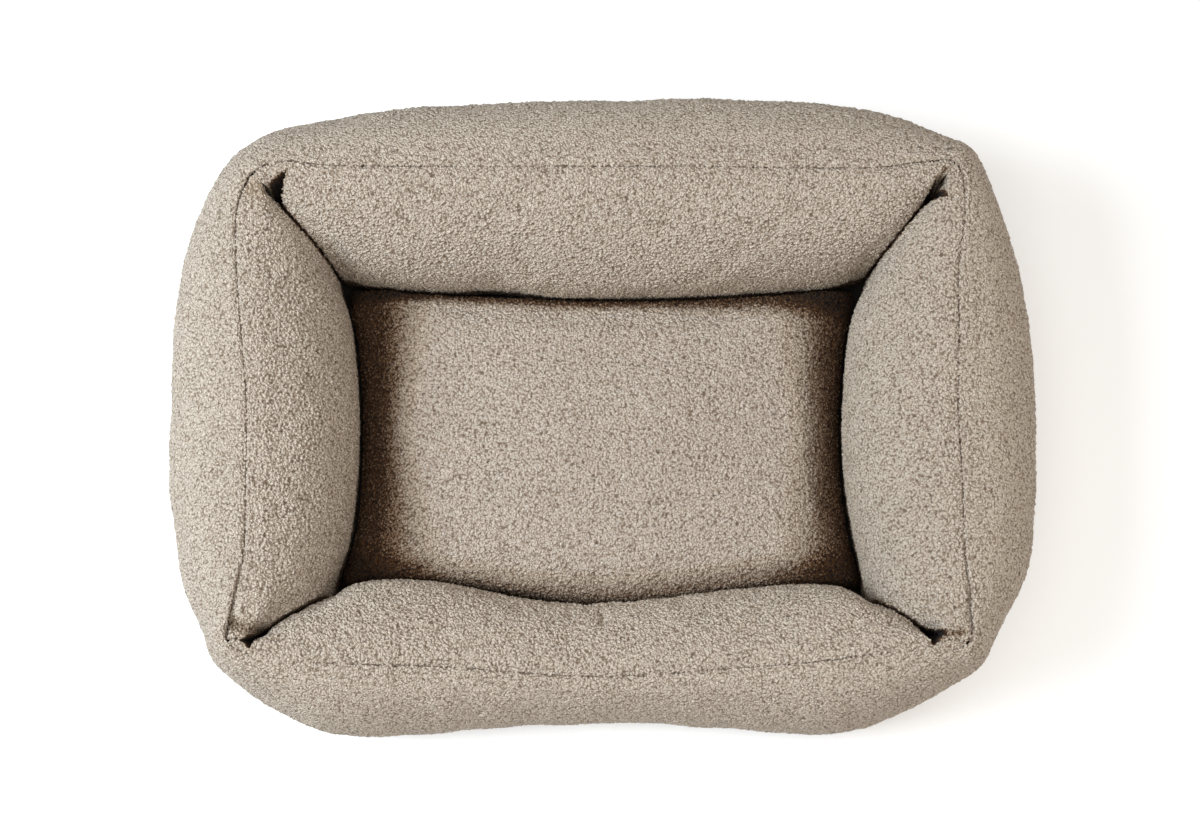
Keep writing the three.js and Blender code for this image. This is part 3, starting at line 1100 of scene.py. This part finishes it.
# Its flat size, measured on the sections: down from the rim seam to the foot, and round the bulge
band_lengths = np.array([outer_line(section, [1])[2] for section in rim_sections])
bulge_line = rim_sections[:, :2] + rim_ways * rim_sections[:, 5:6]
bulge_length = np.linalg.norm(np.roll(bulge_line, -1, axis=0) - bulge_line, axis=1).sum()


# The base panel of canvas, and the stitching of both seams

HEM_ROUND = 1.2 * MM


def base_piece():
    """The base's CAD solid with its flat faces whole and its edges rounded"""
    shape = bmesh.new()
    shape.from_mesh(nodes["base_panel"].data)
    bmesh.ops.remove_doubles(shape, verts=shape.verts, dist=SAME_PLACE)
    bmesh.ops.dissolve_limit(
        shape, angle_limit=math.radians(3), verts=shape.verts, edges=shape.edges)
    hem = [edge for edge in shape.edges if edge.calc_face_angle(0) > math.radians(60)]
    bmesh.ops.bevel(
        shape, geom=hem, affect="EDGES", offset=HEM_ROUND, offset_type="OFFSET",
        segments=3, profile=0.5, material=-1)
    return new_piece("canvas_base", shape)


def sections_for(pitch):
    """Sections all round the rim, as close to this far apart as comes out even"""
    count = round(RIM_LENGTH / pitch)
    return sections_at(np.arange(count) * RIM_LENGTH / count)


def stitches(name, places, half_length, half_thick):
    """One short stitch of thread at each place of a closed seam, lying along it"""
    shape = bmesh.new()
    ways = np.roll(places, -1, axis=0) - np.roll(places, 1, axis=0)
    for place, way in zip(places, ways):
        turn = Vector(way).to_track_quat("X", "Z").to_matrix().to_4x4()
        size = Matrix.Diagonal((half_length, half_thick, half_thick, 1))
        bmesh.ops.create_icosphere(
            shape, subdivisions=1, radius=1, matrix=Matrix.Translation(place) @ turn @ size)
    for face in shape.faces:
        face.smooth = True
    return new_piece(name, shape)


base = base_piece()
base.data.materials.append(base_canvas)

# Along each seam: from stitch to stitch, and half a stitch's length and thickness
RIM_STITCH = (4.6 * MM, 1.5 * MM, 0.45 * MM)
FOOT_STITCH = (5.5 * MM, 1.9 * MM, 0.55 * MM)
# The foot seam runs at this share of the way down the band, and its thread stands this far proud
FOOT_SEAM_AT = 0.975
THREAD_PROUD = 0.4 * MM

seam_at = sections_for(RIM_STITCH[0])
seam_places = np.column_stack((seam_at[:, :2], seam_at[:, 4] - GROOVE_DEEP * 0.75))
rim_stitches = stitches("rim_stitches", seam_places, *RIM_STITCH[1:])
rim_stitches.data.materials.append(seam_thread)

foot_at = sections_for(FOOT_STITCH[0])
foot_lines = np.array([outer_line(section, [FOOT_SEAM_AT])[:2] for section in foot_at])[:, :, 0]
foot_places = np.column_stack((
    foot_at[:, :2] + ways_of(foot_at) * (foot_lines[:, :1] + THREAD_PROUD), foot_lines[:, 1]))
foot_stitches = stitches("foot_stitches", foot_places, *FOOT_STITCH[1:])
foot_stitches.data.materials.append(foot_thread)


# The floor, and each piece attached to the root body, with the CAD parts they stand for hidden

FLOOR_HALF_SIZE = 12

floor_shape = bmesh.new()
bmesh.ops.create_grid(floor_shape, x_segments=1, y_segments=1, size=FLOOR_HALF_SIZE)
floor = new_piece("studio_floor", floor_shape)
floor.data.materials.append(floor_material())

for wall, piece in zip(WALLS, bolsters):
    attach(piece, "root")
    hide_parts("bolster_" + wall)
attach(mattress, "root")
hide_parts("mattress")
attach(band, "root")
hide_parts("outer_band")
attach(base, "root")
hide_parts("base_panel")
for stitching in (rim_stitches, foot_stitches):
    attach(stitching, "root")


# Room light: a cool window at the left, and weaker warm light from the other sides

def area_light(name, place, aim, size, power, color):
    data = bpy.data.lights.new(name, "AREA")
    data.energy = power
    data.size = size
    data.color = color
    lamp = bpy.data.objects.new(name, data)
    lamp.location = place
    way = Vector(aim) - Vector(place)
    lamp.rotation_euler = way.to_track_quat("-Z", "Y").to_euler()
    scene.collection.objects.link(lamp)


CEILING_WHITE = (1, 0.975, 0.94)

area_light("window_left", (-1.76, -0.1, 1.66), (0, 0, 0.1), size=1.2, power=61, color=(0.8, 0.91, 1))
area_light("ceiling", (0.15, -0.4, 2.5), (0, 0, 0), size=2.4, power=38, color=CEILING_WHITE)
area_light("room_front", (-0.2, -2, 1), (0, 0.1, 0.1), size=1.4, power=2, color=(1, 0.89, 0.76))
area_light("room_right", (1.9, -0.2, 1), (0, 0, 0.1), size=1.6, power=7, color=(1, 0.9, 0.78))
world = bpy.data.worlds.new("room")
world.use_nodes = True
background = world.node_tree.nodes["Background"]
background.inputs["Color"].default_value = (*CEILING_WHITE, 1)
background.inputs["Strength"].default_value = 0.36
scene.world = world
scene.view_settings.view_transform = "Standard"
